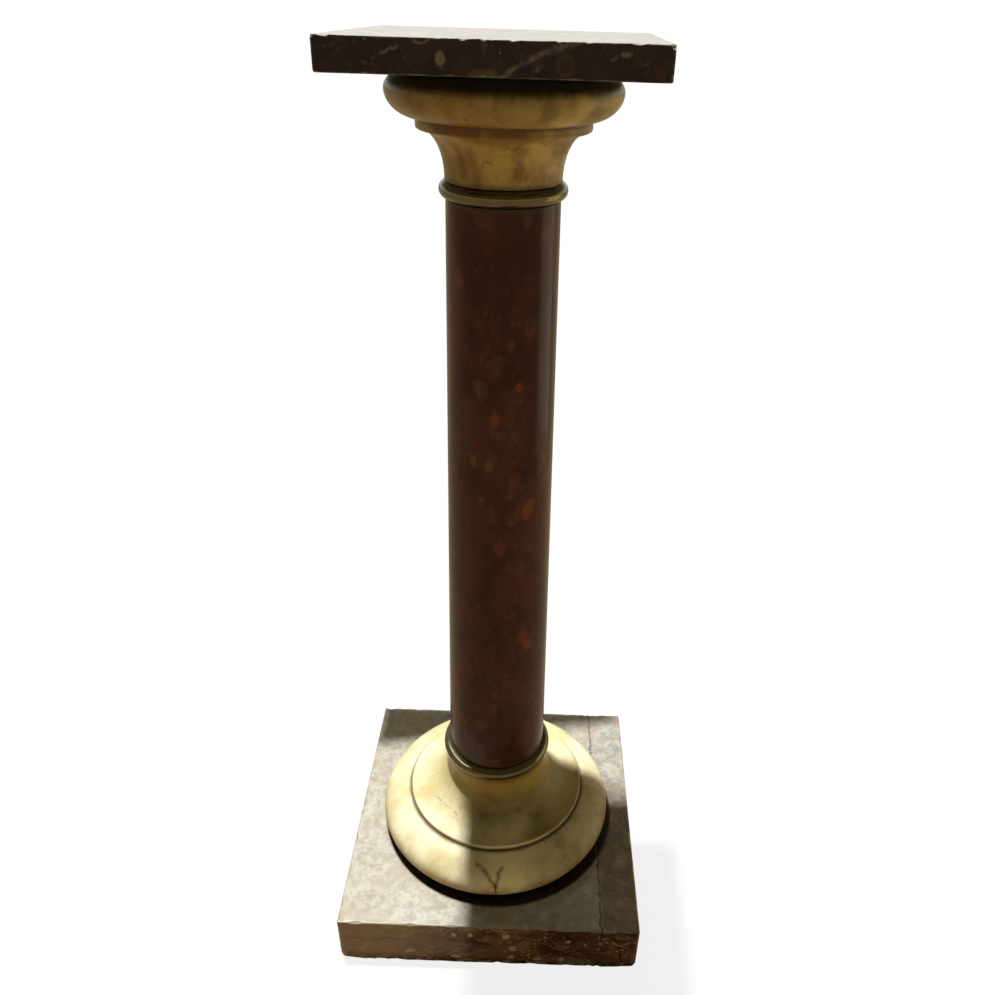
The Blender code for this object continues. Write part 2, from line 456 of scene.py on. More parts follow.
def make_fossil_group():
    """Node group: the bed of a fossil marble, with clouds, mud patches, shell arcs and flecks."""
    tree = bpy.data.node_groups.new("fossil bed", "ShaderNodeTree")
    tree.interface.new_socket("Vector", in_out="INPUT", socket_type="NodeSocketVector")
    for name in ("Dark", "Body", "Patch", "Shell"):
        tree.interface.new_socket(name, in_out="INPUT", socket_type="NodeSocketColor")
    for name in ("Patch Scale", "Patch Amount", "Thread Amount", "Shell Amount"):
        tree.interface.new_socket(name, in_out="INPUT", socket_type="NodeSocketFloat")
    tree.interface.new_socket("Colour", in_out="OUTPUT", socket_type="NodeSocketColor")
    for name in ("Shells", "Height"):
        tree.interface.new_socket(name, in_out="OUTPUT", socket_type="NodeSocketFloat")
    given = tree.nodes.new("NodeGroupInput").outputs

    place = pushed(tree, given["Vector"], cloud(tree, given["Vector"], 38.0, 3.0), 0.022)

    clouds = cloud(tree, place, 16.0, 9.0, 0.66).outputs["Fac"]
    mottle = cloud(tree, place, 70.0, 6.0, 0.7).outputs["Fac"]
    colour = lay_over(tree, ease(tree, clouds, 0.40, 0.60), given["Dark"], given["Body"])

    patches = put(tree, "ShaderNodeTexVoronoi", {"Vector": place, "Scale": given["Patch Scale"]})
    picked = put(tree, "ShaderNodeSeparateColor", {0: patches.outputs["Color"]})
    patch_edge = ease(tree, patches.outputs["Distance"], 0.25, 0.62, 1.0, 0.0)
    patch = times(tree, ease(tree, picked.outputs[0], 0.45, 0.95), patch_edge)
    patch = times(tree, times(tree, patch, ease(tree, mottle, 0.36, 0.60)), given["Patch Amount"])
    colour = lay_over(tree, patch, colour, given["Patch"])
    dark_patch = times(tree, ease(tree, picked.outputs[1], 0.55, 0.9), patch_edge)
    colour = lay_over(tree, times(tree, dark_patch, 0.55), colour, given["Dark"])

    thread = cloud(tree, place, 34.0, 4.0).outputs["Fac"]
    thread = work(tree, "ABSOLUTE", work(tree, "SUBTRACT", thread, 0.5))
    shown = ease(tree, cloud(tree, place, 27.0, 2.0).outputs["Fac"], 0.44, 0.56)
    thread = times(tree, ease(tree, thread, 0.0, 0.026, 1.0, 0.0), shown)
    thread = times(tree, thread, given["Thread Amount"])
    colour = lay_over(tree, thread, colour, given["Patch"])

    ragged = pushed(tree, place, cloud(tree, given["Vector"], 260.0, 3.0), 0.0065)
    crumbs = put(tree, "ShaderNodeTexVoronoi", {"Vector": ragged, "Scale": 135.0})
    crumb_pick = put(tree, "ShaderNodeSeparateColor", {0: crumbs.outputs["Color"]})
    crumb = ease(tree, crumbs.outputs["Distance"], 0.20, 0.42, 1.0, 0.0)
    crumb = times(tree, crumb, ease(tree, crumb_pick.outputs[0], 0.66, 0.86))
    crumb = times(tree, crumb, ease(tree, cloud(tree, place, 30.0, 2.0).outputs["Fac"], 0.42, 0.58))
    ring = work(tree, "ABSOLUTE", work(tree, "SUBTRACT", crumbs.outputs["Distance"], 0.32))
    curl = ease(tree, ring, 0.02, 0.09, 1.0, 0.0)
    curl = times(tree, curl, ease(tree, crumb_pick.outputs[1], 0.80, 0.86))
    gaps = cloud(tree, given["Vector"], 120.0, 1.0).outputs["Fac"]
    curl = times(tree, curl, ease(tree, gaps, 0.50, 0.60, 0.0, 0.7))
    flecks = put(tree, "ShaderNodeTexVoronoi", {"Vector": ragged, "Scale": 380.0})
    fleck_pick = put(tree, "ShaderNodeSeparateColor", {0: flecks.outputs["Color"]})
    fleck = ease(tree, flecks.outputs["Distance"], 0.12, 0.36, 1.0, 0.0)
    fleck = times(tree, fleck, ease(tree, fleck_pick.outputs[0], 0.88, 0.97))
    shells = times(tree, most(tree, [curl, fleck, crumb]), given["Shell Amount"])
    colour = lay_over(tree, shells, colour, given["Shell"])
    grain = cloud(tree, given["Vector"], 600.0, 3.0).outputs["Fac"]
    colour = lay_over(tree, ease(tree, grain, 0.35, 0.75, 0.0, 0.30), colour, given["Dark"])

    height = work(tree, "SUBTRACT", mottle, shells)
    pale = work(tree, "MAXIMUM", times(tree, thread, 0.6), shells)
    put(tree, "NodeGroupOutput", {"Colour": colour, "Shells": pale, "Height": height})
    return tree


def make_dust_and_glare_group():
    """Node group: a thin grey film that lies on upward faces and thins out in smears: dust, and on the
    plinth's and slab's tops painted glare too.
    """
    tree = bpy.data.node_groups.new("dust film", "ShaderNodeTree")
    tree.interface.new_socket("Vector", in_out="INPUT", socket_type="NodeSocketVector")
    tree.interface.new_socket("Amount", in_out="INPUT", socket_type="NodeSocketFloat")
    tree.interface.new_socket("Mask", in_out="OUTPUT", socket_type="NodeSocketFloat")
    given = tree.nodes.new("NodeGroupInput").outputs
    facing = put(tree, "ShaderNodeNewGeometry").outputs["Normal"]
    flat = ease(tree, axes(tree, facing)["Z"], 0.55, 0.98)
    smears = put(tree, "ShaderNodeTexNoise", {
        "Vector": given["Vector"], "Scale": 48.0, "Detail": 7.0, "Roughness": 0.66, "Distortion": 0.4,
    })
    thin = ramp(tree, smears.outputs["Fac"], 0.36, 0.60, 0.8, 1.0)
    mask = times(tree, times(tree, flat, thin), given["Amount"])
    put(tree, "NodeGroupOutput", {"Mask": mask})
    return tree


streak_group = make_streak_group()
shell_group = make_shell_group()
fossil_group = make_fossil_group()
dust_and_glare_group = make_dust_and_glare_group()


def ask_group(tree, group, sockets):
    """A group placed in a material, with its own values."""
    return put(tree, "ShaderNodeGroup", sockets, node_tree=group).outputs


def streaks(tree, vector, runs, width):
    """One mask for several veins, each a run of points joined by straight streaks."""
    masks = []
    for run in runs:
        for start, end in zip(run[:-1], run[1:]):
            sockets = {"Vector": vector, "Start": start, "End": end, "Width": width}
            masks.append(ask_group(tree, streak_group, sockets)["Mask"])
    return most(tree, masks)


def wandering(tree, scale, amount):
    """Object coordinates, and the same pushed about so that a straight vein wanders."""
    place = put(tree, "ShaderNodeTexCoord").outputs["Object"]
    return place, pushed(tree, place, cloud(tree, place, scale, 4.0, 0.5), amount)


def shade_stone(tree, place, colour, rough, height, bare, dust, dust_and_glare_colour, gloss, relief):
    """The polished shader of a marble under its film of dust, which leaves the bare mask clear. On the
    plinth's and slab's tops the pale film is painted glare as well as dust.
    """
    film = ask_group(tree, dust_and_glare_group, {"Vector": place, "Amount": dust})["Mask"]
    film = times(tree, film, work(tree, "MULTIPLY_ADD", bare, -0.75, 1.0))
    worn = ease(tree, cloud(tree, place, 82.0, 6.0, 0.72).outputs["Fac"], 0.40, 0.60)
    thin_dust_and_glare = tuple(part * share for part, share in zip(dust_and_glare_colour, (0.70, 0.68, 0.65)))
    dust_and_glare_tone = lay_over(tree, worn, (*thin_dust_and_glare, 1.0), dust_and_glare_colour)
    wide = put(tree, "ShaderNodeTexNoise", {
        "Vector": place, "Scale": 17.0, "Detail": 5.0, "Distortion": 0.6,
    })
    wide = ease(tree, wide.outputs["Fac"], 0.47, 0.60)
    pinkish = tuple(part * share for part, share in zip(dust_and_glare_colour, (0.80, 0.73, 0.68)))
    dust_and_glare_tone = lay_over(tree, wide, dust_and_glare_tone, pinkish, 0.60)
    grit = ease(tree, cloud(tree, place, 310.0, 2.0, 0.5).outputs["Fac"], 0.68, 0.73)
    dust_and_glare_tone = lay_over(tree, grit, dust_and_glare_tone, (0.74, 0.72, 0.65), 0.55)
    colour = lay_over(tree, film, colour, dust_and_glare_tone)
    rough = work(tree, "MULTIPLY_ADD", film, 0.14, rough)
    bump = put(tree, "ShaderNodeBump", {"Height": height, "Distance": relief, "Strength": 1.0})
    finish_material(tree, {
        "Base Color": colour, "Roughness": rough, "Specular IOR Level": gloss,
        "Normal": bump.outputs["Normal"],
    })


plinth_dark = (0.043, 0.0150, 0.0075)
plinth_body = (0.180, 0.080, 0.036)
plinth_tan = (0.350, 0.225, 0.120)
plinth_patch = (0.340, 0.225, 0.110)
plinth_shell = (0.560, 0.410, 0.290)
# Dust, and partly painted glare: the pale film lightens the plinth's polished top
plinth_dust_and_glare = (0.450, 0.466, 0.428)
front_y = plinth_low.y
plinth_cracks = [
    [(crack_x - 0.001, plinth_high.y, plinth_high.z), (crack_x, 0.0, plinth_high.z),
     (crack_x, front_y, plinth_high.z), (crack_x + 0.001, front_y, crack_end_z)],
    [(second_crack_x - 0.002, front_y, second_crack_top_z), (second_crack_x, front_y, 0.022),
     (second_crack_x + 0.002, front_y, 0.0)],
]
plinth_seams = [
    [(plinth_low.x, front_y, 0.041), (-0.148, front_y, 0.0425), (-0.098, front_y, 0.045)],
    [(-0.060, front_y, 0.036), (0.020, front_y, 0.030), (0.075, front_y, 0.034)],
]
plinth_veins = [
    [(-0.150, front_y, 0.036), (-0.157, front_y, 0.024), (-0.166, front_y, 0.018)],
    [(0.155, front_y, 0.052), (0.166, front_y, 0.045), (0.186, front_y, 0.054)],
    [(-0.128, front_y, 0.048), (-0.102, front_y, 0.050), (-0.090, front_y, 0.060)],
]
# Middle and radii of the pale shell sections on the front face
plinth_shells = [
    ((-0.0429, 0.0554), (0.0038, 0.0048)), ((-0.0240, 0.0554), (0.0032, 0.0044)),
    ((0.0218, 0.0556), (0.0062, 0.0046)), ((0.1000, 0.0494), (0.0034, 0.0026)),
    ((0.0303, 0.0310), (0.0060, 0.0052)), ((-0.1005, 0.0205), (0.0075, 0.0042)),
    ((-0.0410, 0.0120), (0.0080, 0.0034)), ((0.0300, 0.0140), (0.0040, 0.0050)),
    ((0.0620, 0.0120), (0.0060, 0.0034)), ((0.0935, 0.0130), (0.0044, 0.0044)),
]
plinth_light_patch = ((0.119, 0.0100), (0.020, 0.0085))


def make_plinth_marble():
    material, tree = empty_material("plinth fossil marble")
    place, moved = wandering(tree, 120.0, 0.010)
    layers = vector_work(tree, "MULTIPLY", place, (1.0, 1.0, 1.7))
    bed = ask_group(tree, fossil_group, {
        "Vector": layers, "Dark": (*plinth_dark, 1.0), "Body": (*plinth_body, 1.0),
        "Patch": (*plinth_patch, 1.0), "Shell": (*plinth_shell, 1.0),
        "Patch Scale": 40.0, "Patch Amount": 0.70, "Thread Amount": 0.75, "Shell Amount": 0.85,
    })
    colour = bed["Colour"]
    places = axes(tree, moved)
    tan_side = ease(tree, places["X"], -0.02, -0.12)
    colour = lay_over(tree, tan_side, colour, plinth_tan, 0.55)
    depth = 0.006
    light = ask_group(tree, shell_group, {
        "Vector": moved,
        "Middle": (plinth_light_patch[0][0], front_y, plinth_light_patch[0][1]),
        "Radii": (plinth_light_patch[1][0], depth, plinth_light_patch[1][1]),
    })["Disc"]
    colour = lay_over(tree, light, colour, (0.190, 0.165, 0.105), 0.55)
    discs = []
    for (x, z), (radius_x, radius_z) in plinth_shells:
        section = ask_group(tree, shell_group, {
            "Vector": moved, "Middle": (x, front_y, z), "Radii": (radius_x, depth, radius_z),
        })
        discs.append(section["Disc"])
    colour = lay_over(tree, most(tree, discs), colour, plinth_shell, 0.7)
    colour = lay_over(tree, streaks(tree, moved, plinth_veins, 0.0022), colour, plinth_patch, 0.8)
    colour = lay_over(tree, streaks(tree, moved, plinth_seams, 0.0020), colour, plinth_dark, 0.55)
    foot = ease(tree, axes(tree, place)["Z"], 0.011, 0.003)
    broken = cloud(tree, place, 150.0, 4.0).outputs["Fac"]
    for low, high, tone in ((0.47, 0.53, (0.010, 0.006, 0.004)), (0.45, 0.40, (0.420, 0.330, 0.220))):
        bits = times(tree, ease(tree, broken, low, high), foot)
        colour = lay_over(tree, bits, colour, tone, 0.75)
    crack = streaks(tree, moved, plinth_cracks, 0.0023)
    wear = put(tree, "ShaderNodeAttribute", None, attribute_name="wear").outputs["Fac"]
    colour = lay_over(tree, wear, colour, (0.360, 0.290, 0.220), 0.55)
    colour = lay_over(tree, crack, colour, (0.006, 0.005, 0.004), 0.92)
    rough = work(tree, "MULTIPLY_ADD", wear, 0.35, 0.24)
    height = work(tree, "SUBTRACT", bed["Height"], crack)
    bare = most(tree, [crack, bed["Shells"]])
    past_crack = ramp(tree, places["X"], crack_x - 0.002, crack_x + 0.004)
    wiped = times(tree, past_crack, ease(tree, places["Y"], 0.085, 0.02))
    dust = work(tree, "MULTIPLY_ADD", wiped, -0.50, 0.84)
    # Painted shade: a near-black ring on the plinth's top just past the torus's reach, where the base
    # shades it; the dust film is kept off the ring
    level = vector_work(tree, "MULTIPLY", place, (1.0, 1.0, 0.0))
    from_axis = put(tree, "ShaderNodeVectorMath", {0: level, 1: (0.004, -0.002, 0.0)}, operation="DISTANCE")
    corner = ease(tree, from_axis.outputs["Value"], 0.1612, 0.1560)
    colour = lay_over(tree, corner, colour, (0.009, 0.007, 0.005), 0.95)
    dust = times(tree, dust, work(tree, "SUBTRACT", 1.0, corner))
    shade_stone(tree, place, colour, rough, height, bare, dust, plinth_dust_and_glare, 0.36, 0.00012)
    return material


def make_plinth():
    size = (plinth_width, plinth_width, plinth_thickness)
    side = plinth_width / 2
    edge_lines = (-side, side)
    crack_lines = (*edge_lines, crack_x, second_crack_x)
    lines = [
        crowded_lines(plinth_width, plinth_cuts + 1, crack_lines, 0.0055, 9.0),
        crowded_lines(plinth_width, plinth_cuts + 1, edge_lines, 0.008, 6.0),
        crowded_lines(plinth_thickness, plinth_cuts + 1, (), 0.0, 1.0),
    ]
    block = sawn_block(plinth_cuts, lines)
    wear = block.verts.layers.float.new("wear")
    wear_arrises(block, size, plinth_arris, plinth_corner_wear, wear)
    rng = random.Random(31)
    chips = []
    for place, way in edge_places(size, rng, 0.014):
        depth = 0.0004 + 0.0016 * rng.random() ** 3
        chips.append((place, way, depth + plinth_arris * 0.35, 0.003 + 3.0 * depth))
    top = plinth_thickness / 2
    floor_z = -top
    for _ in range(46):
        foot = Vector((rng.uniform(-side, side), -side, floor_z + rng.uniform(0.0035, 0.0080)))
        depth = 0.0006 + 0.0013 * rng.random() ** 2
        chips.append((foot, Vector((0.0, -1.0, -0.2)).normalized(), depth, 0.0014 + 1.4 * depth))
    for _ in range(9):
        back = rng.uniform(0.10, 0.172)
        pit = Vector((crack_x + rng.uniform(-0.001, 0.001), back, top))
        chips.append((pit, Vector((0.0, 0.0, 1.0)), 0.0012, rng.uniform(0.0016, 0.0026)))
    hole = Vector((crack_x + 0.001, -side, crack_end_z + floor_z))
    chips.append((hole, Vector((0.0, -1.0, 0.0)), 0.0022, 0.0030))
    strike_chips(block, size, chips, wear)
    down = Vector((0.0, 0.0, -1.0))
    inward = Vector((0.0, 1.0, 0.0))
    back_end = Vector((crack_x, side, top))
    front_end = Vector((crack_x, -side, top))
    second_start = Vector((second_crack_x - 0.002, -side, second_crack_top_z + floor_z))
    second_end = Vector((second_crack_x + 0.002, -side, floor_z))
    open_crack(block, back_end, front_end, down, 0.0013, 0.0016)
    open_crack(block, front_end, hole, inward, 0.0012, 0.0014)
    open_crack(block, second_start, second_end, inward, 0.0012, 0.0016)
    bmesh.ops.translate(block, vec=(0.0, 0.0, plinth_low.z + plinth_thickness / 2), verts=block.verts)
    return mesh_piece("worn_plinth", block)


plinth = make_plinth()
plinth.data.materials.append(make_plinth_marble())
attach(plinth, "root")
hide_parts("plinth")


# The base: one turned stone of cream and ochre marble on the plinth. From the top it has a flare
# under the lower ring, a square-edged fillet and a wide torus. Brown veins and one dark crack
# show at its front.
base_low, base_high = (Vector(corner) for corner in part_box("base"))
ring_low, ring_high = (Vector(corner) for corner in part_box("lower_ring"))
turning_steps = 192
base_torus_radius = base_high.x
base_torus_reach = 0.044
base_torus_lower = 0.0210
base_torus_upper = 0.0312
base_fillet_radius = 0.117
base_fillet_height = 0.0062
base_fillet_round = 0.0020
base_flare_height = 0.0581
base_neck_height = 0.0050
base_neck_radius = 0.0648
lower_spigot_radius = 0.0511


def arc(middle, reach, rise, start, end, points):
    """Points of an elliptic arc in the radius and height plane, angles in degrees."""
    curve = []
    for step in range(points + 1):
        angle = math.radians(start + (end - start) * step / points)
        curve.append((middle[0] + reach * math.cos(angle), middle[1] + rise * math.sin(angle)))
    return curve


def turn_stone(profile, steps):
    """A solid turned about Z from a profile of radius and height that starts and ends on the axis."""
    turned = bmesh.new()
    corners = [turned.verts.new((radius, 0.0, height)) for radius, height in profile]
    edges = [turned.edges.new(pair) for pair in zip(corners[:-1], corners[1:])]
    bmesh.ops.spin(
        turned, geom=corners + edges, cent=(0.0, 0.0, 0.0), axis=(0.0, 0.0, 1.0), dvec=(0.0, 0.0, 0.0),
        angle=math.tau, steps=steps, use_merge=True, use_normal_flip=False, use_duplicate=False,
    )
    bmesh.ops.remove_doubles(turned, verts=turned.verts[:], dist=0.00001)
    return turned


def make_vein_group():
    """Node group: cream and ochre marble, with cloudy patches and a net of wandering brown veins."""
    tree = bpy.data.node_groups.new("veined ochre", "ShaderNodeTree")
    tree.interface.new_socket("Vector", in_out="INPUT", socket_type="NodeSocketVector")
    for name in ("Cream", "Ochre", "Blush", "Vein"):
        tree.interface.new_socket(name, in_out="INPUT", socket_type="NodeSocketColor")
    for name in ("Ochre Amount", "Vein Amount"):
        tree.interface.new_socket(name, in_out="INPUT", socket_type="NodeSocketFloat")
    tree.interface.new_socket("Colour", in_out="OUTPUT", socket_type="NodeSocketColor")
    tree.interface.new_socket("Veins", in_out="OUTPUT", socket_type="NodeSocketFloat")
    given = tree.nodes.new("NodeGroupInput").outputs

    place = pushed(tree, given["Vector"], cloud(tree, given["Vector"], 16.0, 4.0), 0.045)
    clouds = cloud(tree, place, 11.0, 6.0, 0.55).outputs["Fac"]
    share = work(tree, "ADD", ease(tree, clouds, 0.36, 0.64), given["Ochre Amount"], clamp=True)
    colour = lay_over(tree, share, given["Cream"], given["Ochre"])
    blocks = put(tree, "ShaderNodeTexVoronoi", {"Vector": place, "Scale": 26.0})
    tints = put(tree, "ShaderNodeSeparateColor", {0: blocks.outputs["Color"]})
    colour = lay_over(tree, ease(tree, tints.outputs[0], 0.45, 0.9, 0.0, 0.55), colour, given["Blush"])
    colour = lay_over(tree, ease(tree, tints.outputs[1], 0.6, 1.0, 0.0, 0.35), colour, given["Cream"])

    bent = pushed(tree, place, cloud(tree, place, 60.0, 4.0), 0.020)
    net = put(tree, "ShaderNodeTexVoronoi", {"Vector": bent, "Scale": 24.0}, feature="DISTANCE_TO_EDGE")
    present = ease(tree, cloud(tree, given["Vector"], 13.0, 3.0).outputs["Fac"], 0.47, 0.60)
    vein = times(tree, ease(tree, net.outputs["Distance"], 0.0, 0.050, 1.0, 0.0), present)
    halo = times(tree, ease(tree, net.outputs["Distance"], 0.0, 0.34, 1.0, 0.0), present)
    thread = cloud(tree, bent, 42.0, 2.0).outputs["Fac"]
    thread = work(tree, "ABSOLUTE", work(tree, "SUBTRACT", thread, 0.5))
    shown = ease(tree, cloud(tree, given["Vector"], 21.0, 2.0).outputs["Fac"], 0.54, 0.62)
    thread = times(tree, ease(tree, thread, 0.0, 0.016, 1.0, 0.0), shown)
    veins = times(tree, work(tree, "MAXIMUM", vein, thread), given["Vein Amount"])
    colour = lay_over(tree, times(tree, halo, given["Vein Amount"]), colour, given["Ochre"], 0.5)
    colour = lay_over(tree, veins, colour, given["Vein"])
    put(tree, "NodeGroupOutput", {"Colour": colour, "Veins": veins})
    return tree


def make_grime_and_shade_group():
    """Node group: a dark mask in a crevice that runs round a turned stone at a radius and height, partly
    old dirt and partly painted shade.
    """
    tree = bpy.data.node_groups.new("crevice grime", "ShaderNodeTree")
    tree.interface.new_socket("Vector", in_out="INPUT", socket_type="NodeSocketVector")
    for name in ("Radius", "Height", "Reach"):
        tree.interface.new_socket(name, in_out="INPUT", socket_type="NodeSocketFloat")
    tree.interface.new_socket("Mask", in_out="OUTPUT", socket_type="NodeSocketFloat")
    given = tree.nodes.new("NodeGroupInput").outputs

    def span(first, second):
        squares = (work(tree, "POWER", part, 2.0) for part in (first, second))
        return work(tree, "SQRT", work(tree, "ADD", *squares))

    parts = axes(tree, given["Vector"])
    outward = work(tree, "SUBTRACT", span(parts["X"], parts["Y"]), given["Radius"])
    upward = work(tree, "SUBTRACT", parts["Z"], given["Height"])
    distance = span(outward, upward)
    uneven = cloud(tree, given["Vector"], 45.0, 5.0, 0.5).outputs["Fac"]
    reach = times(tree, given["Reach"], work(tree, "ADD", uneven, 0.5))
    relative = work(tree, "DIVIDE", distance, reach)
    mask = ease(tree, relative, 0.1, 1.0, 1.0, 0.0)
    put(tree, "NodeGroupOutput", {"Mask": mask})
    return tree


grime_and_shade_group = make_grime_and_shade_group()
# The dark of crevice dirt and painted shade
grime_and_shade = (0.045, 0.030, 0.013)


def lay_grime_and_shade(tree, place, colour, crevices):
    """Dirt and painted shade laid over a colour in each crevice, given as radius, height, reach and
    strength.
    """
    for radius, height, reach, strength in crevices:
        sockets = {"Vector": place, "Radius": radius, "Height": height, "Reach": reach}
        mask = ask_group(tree, grime_and_shade_group, sockets)["Mask"]
        colour = lay_over(tree, mask, colour, grime_and_shade, strength)
    return colour


vein_group = make_vein_group()
base_cream = (0.665, 0.605, 0.420)
base_ochre = (0.455, 0.395, 0.175)
base_blush = (0.500, 0.465, 0.265)
base_vein = (0.140, 0.065, 0.022)
neck_ochre = (0.440, 0.270, 0.046)
base_amber = [[(-0.0508, -0.0426, 0.1744), (-0.0294, -0.0629, 0.1641), (-0.0159, -0.0687, 0.1616)]]
base_stain = [
    [(-0.0104, -0.0697, 0.1616), (0.0081, -0.0708, 0.1600), (0.0292, -0.0706, 0.1513),
     (0.0537, -0.0706, 0.1390)],
]
base_hairline = [[(-0.0841, -0.0403, 0.1360), (-0.0644, -0.0596, 0.1397), (-0.0455, -0.0773, 0.1383)]]
base_fork = [
    [(-0.0170, -0.1352, 0.1190), (-0.0057, -0.1436, 0.1145), (-0.0006, -0.1494, 0.1092),
     (0.0070, -0.1542, 0.1013)],
    [(0.0133, -0.1385, 0.1175), (0.0102, -0.1442, 0.1138), (0.0076, -0.1528, 0.1041)],
]
base_dents = [(-0.0522, -0.1066, 0.1237), (-0.0564, -0.1024, 0.1260), (0.1421, -0.0265, 0.1139)]
base_crack = [[(0.0068, -0.1536, 0.1030), (0.0077, -0.1548, 0.0887)]]
# Radius, height, reach and strength of the dirt and painted shade in each crevice: at the fillet, under the
# lower ring, and painted shade under the torus where it meets the plinth
base_crevices = [
    (0.1172, 0.1236, 0.0058, 0.90), (0.0648, 0.1945, 0.0120, 0.6), (0.1300, 0.0715, 0.0220, 0.8),
]
turned_dust = (0.45, 0.42, 0.34)
turned_dust_amount = 0.10


def make_base_marble():
    material, tree = empty_material("cream and ochre marble")
    place, moved = wandering(tree, 120.0, 0.008)
    stone = ask_group(tree, vein_group, {
        "Vector": place, "Cream": (*base_cream, 1.0), "Ochre": (*base_ochre, 1.0),
        "Blush": (*base_blush, 1.0), "Vein": (*base_vein, 1.0),
        "Ochre Amount": -0.15, "Vein Amount": 0.14,
    })
    colour = stone["Colour"]
    places = axes(tree, moved)
    across = places["X"]
    neck = ease(tree, places["Z"], 0.146, 0.182)
    clouds = cloud(tree, moved, 34.0, 6.0, 0.68).outputs["Fac"]
    cloudy = ease(tree, clouds, 0.46, 0.62)
    colour = lay_over(tree, cloudy, colour, (0.450, 0.370, 0.180), 0.30)
    # Painted light: the shaded front of the torus painted a paler cream than the rest, standing in for the
    # light that reaches it
    painted_light_front = times(tree, ease(tree, across, -0.040, 0.020), ease(tree, across, 0.110, 0.030))
    colour = lay_over(tree, painted_light_front, colour, (0.900, 0.800, 0.430), 0.78)
    # Partly the stone's olive, partly painted shade: the flare's front and right, where the slab's shadow
    # falls, painted dark olive
    above_fillet = ramp(tree, axes(tree, place)["Z"], 0.1296, 0.1304)
    side = ease(tree, across, -0.070, -0.010)
    low_left = ramp(tree, places["Z"], 0.130, 0.146, 0.42, 1.0)
    fuller = work(tree, "MAXIMUM", low_left, ease(tree, across, 0.010, 0.060))
    olive_and_shade = times(tree, times(tree, above_fillet, side), fuller)
    olive_and_shade = times(tree, olive_and_shade, ease(tree, places["Y"], 0.050, 0.005))
    olive_and_shade = times(tree, olive_and_shade, ramp(tree, clouds, 0.30, 0.62, 0.76, 1.0))
    colour = lay_over(tree, olive_and_shade, colour, (0.118, 0.079, 0.003), 0.99)
    # Partly olive clouds, partly painted shade: the torus's shaded right front painted darker
    right = times(tree, ease(tree, across, 0.020, 0.095), ease(tree, places["Y"], 0.050, -0.010))
    colour = lay_over(tree, right, colour, (0.360, 0.290, 0.105), 0.62)
    right = times(tree, right, cloudy)
    colour = lay_over(tree, right, colour, (0.230, 0.170, 0.060), 0.50)
    # Partly the stone's ochre, partly painted shade: the neck's ochre laid only on its shaded front and
    # right
    amber = times(tree, neck, side)
    colour = lay_over(tree, amber, colour, neck_ochre, 0.70)
    amber = streaks(tree, moved, base_amber, 0.0120)
    colour = lay_over(tree, amber, colour, (0.330, 0.190, 0.030), 0.60)
    stain = times(tree, streaks(tree, moved, base_stain, 0.0150), cloudy)
    colour = lay_over(tree, stain, colour, (0.085, 0.062, 0.014), 0.60)
    foot = ease(tree, places["Z"], 0.1080, 0.0900)
    foot = times(tree, foot, ramp(tree, clouds, 0.36, 0.60, 0.35, 0.85))
    colour = lay_over(tree, foot, colour, (0.300, 0.155, 0.035), 1.0)
    colour = lay_grime_and_shade(tree, place, colour, base_crevices)
    colour = lay_over(tree, streaks(tree, moved, base_hairline, 0.0011), colour, base_vein, 0.7)
    halo = streaks(tree, moved, base_fork, 0.0056)
    colour = lay_over(tree, halo, colour, (0.220, 0.120, 0.032), 0.62)
    colour = lay_over(tree, streaks(tree, moved, base_fork, 0.0018), colour, base_vein, 0.55)
    dents = []
    for dent in base_dents:
        sockets = {"Vector": moved, "Middle": dent, "Radii": (0.0022, 0.0022, 0.0016)}
        dents.append(ask_group(tree, shell_group, sockets)["Disc"])
    colour = lay_over(tree, most(tree, dents), colour, base_vein, 0.7)
    crack = streaks(tree, moved, base_crack, 0.0026)
    colour = lay_over(tree, crack, colour, (0.040, 0.008, 0.004), 0.95)
    rough = work(tree, "MULTIPLY_ADD", clouds, 0.30, 0.24)
    height = work(tree, "MULTIPLY_ADD", stone["Veins"], -0.3, crack)
    height = times(tree, height, -1.0)
    shade_stone(tree, place, colour, rough, height, crack, turned_dust_amount, turned_dust, 0.15, 0.0002)
    return material


def make_base():
    torus = (base_torus_radius - base_torus_reach, base_low.z + base_torus_lower)
    fillet_bottom = torus[1] + base_torus_upper
    fillet_top = fillet_bottom + base_fillet_height
    flare_top = fillet_top + base_flare_height
    shoulder = flare_top + base_neck_height
    flare_foot = base_fillet_radius - base_fillet_round
    meeting = math.degrees(math.acos((base_fillet_radius - torus[0]) / base_torus_reach))
    profile = [(0.0, base_high.z), (lower_spigot_radius, base_high.z), (lower_spigot_radius, shoulder)]
    edge = 0.0004
    profile += [(base_neck_radius - edge, shoulder), (base_neck_radius, shoulder - edge)]
    profile += arc((flare_foot, flare_top), flare_foot - base_neck_radius, base_flare_height, 180, 270, 30)
    round_middle = (flare_foot, fillet_top - base_fillet_round)
    profile += arc(round_middle, base_fillet_round, base_fillet_round, 90, 0, 6)[1:]
    corner = torus[1] + base_torus_upper * math.sin(math.radians(meeting))
    profile += [(base_fillet_radius, corner)]
    profile += arc(torus, base_torus_reach, base_torus_upper, meeting - 0.5, 0, 30)
    profile += arc(torus, base_torus_reach, base_torus_lower, 0, -90, 20)[1:]
    profile += [(0.0, base_low.z)]
    return mesh_piece("turned_base", turn_stone(profile, turning_steps), math.radians(40))


base = make_base()
base.data.materials.append(make_base_marble())
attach(base, "root")
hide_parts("base")


# The brass rings: cast half-round beads, turned smooth and dropped over the joints at the foot and
# the top of the shaft. A dark olive patina covers them, and it is rubbed thin along the crest.
brass_bright = (0.150, 0.120, 0.058)
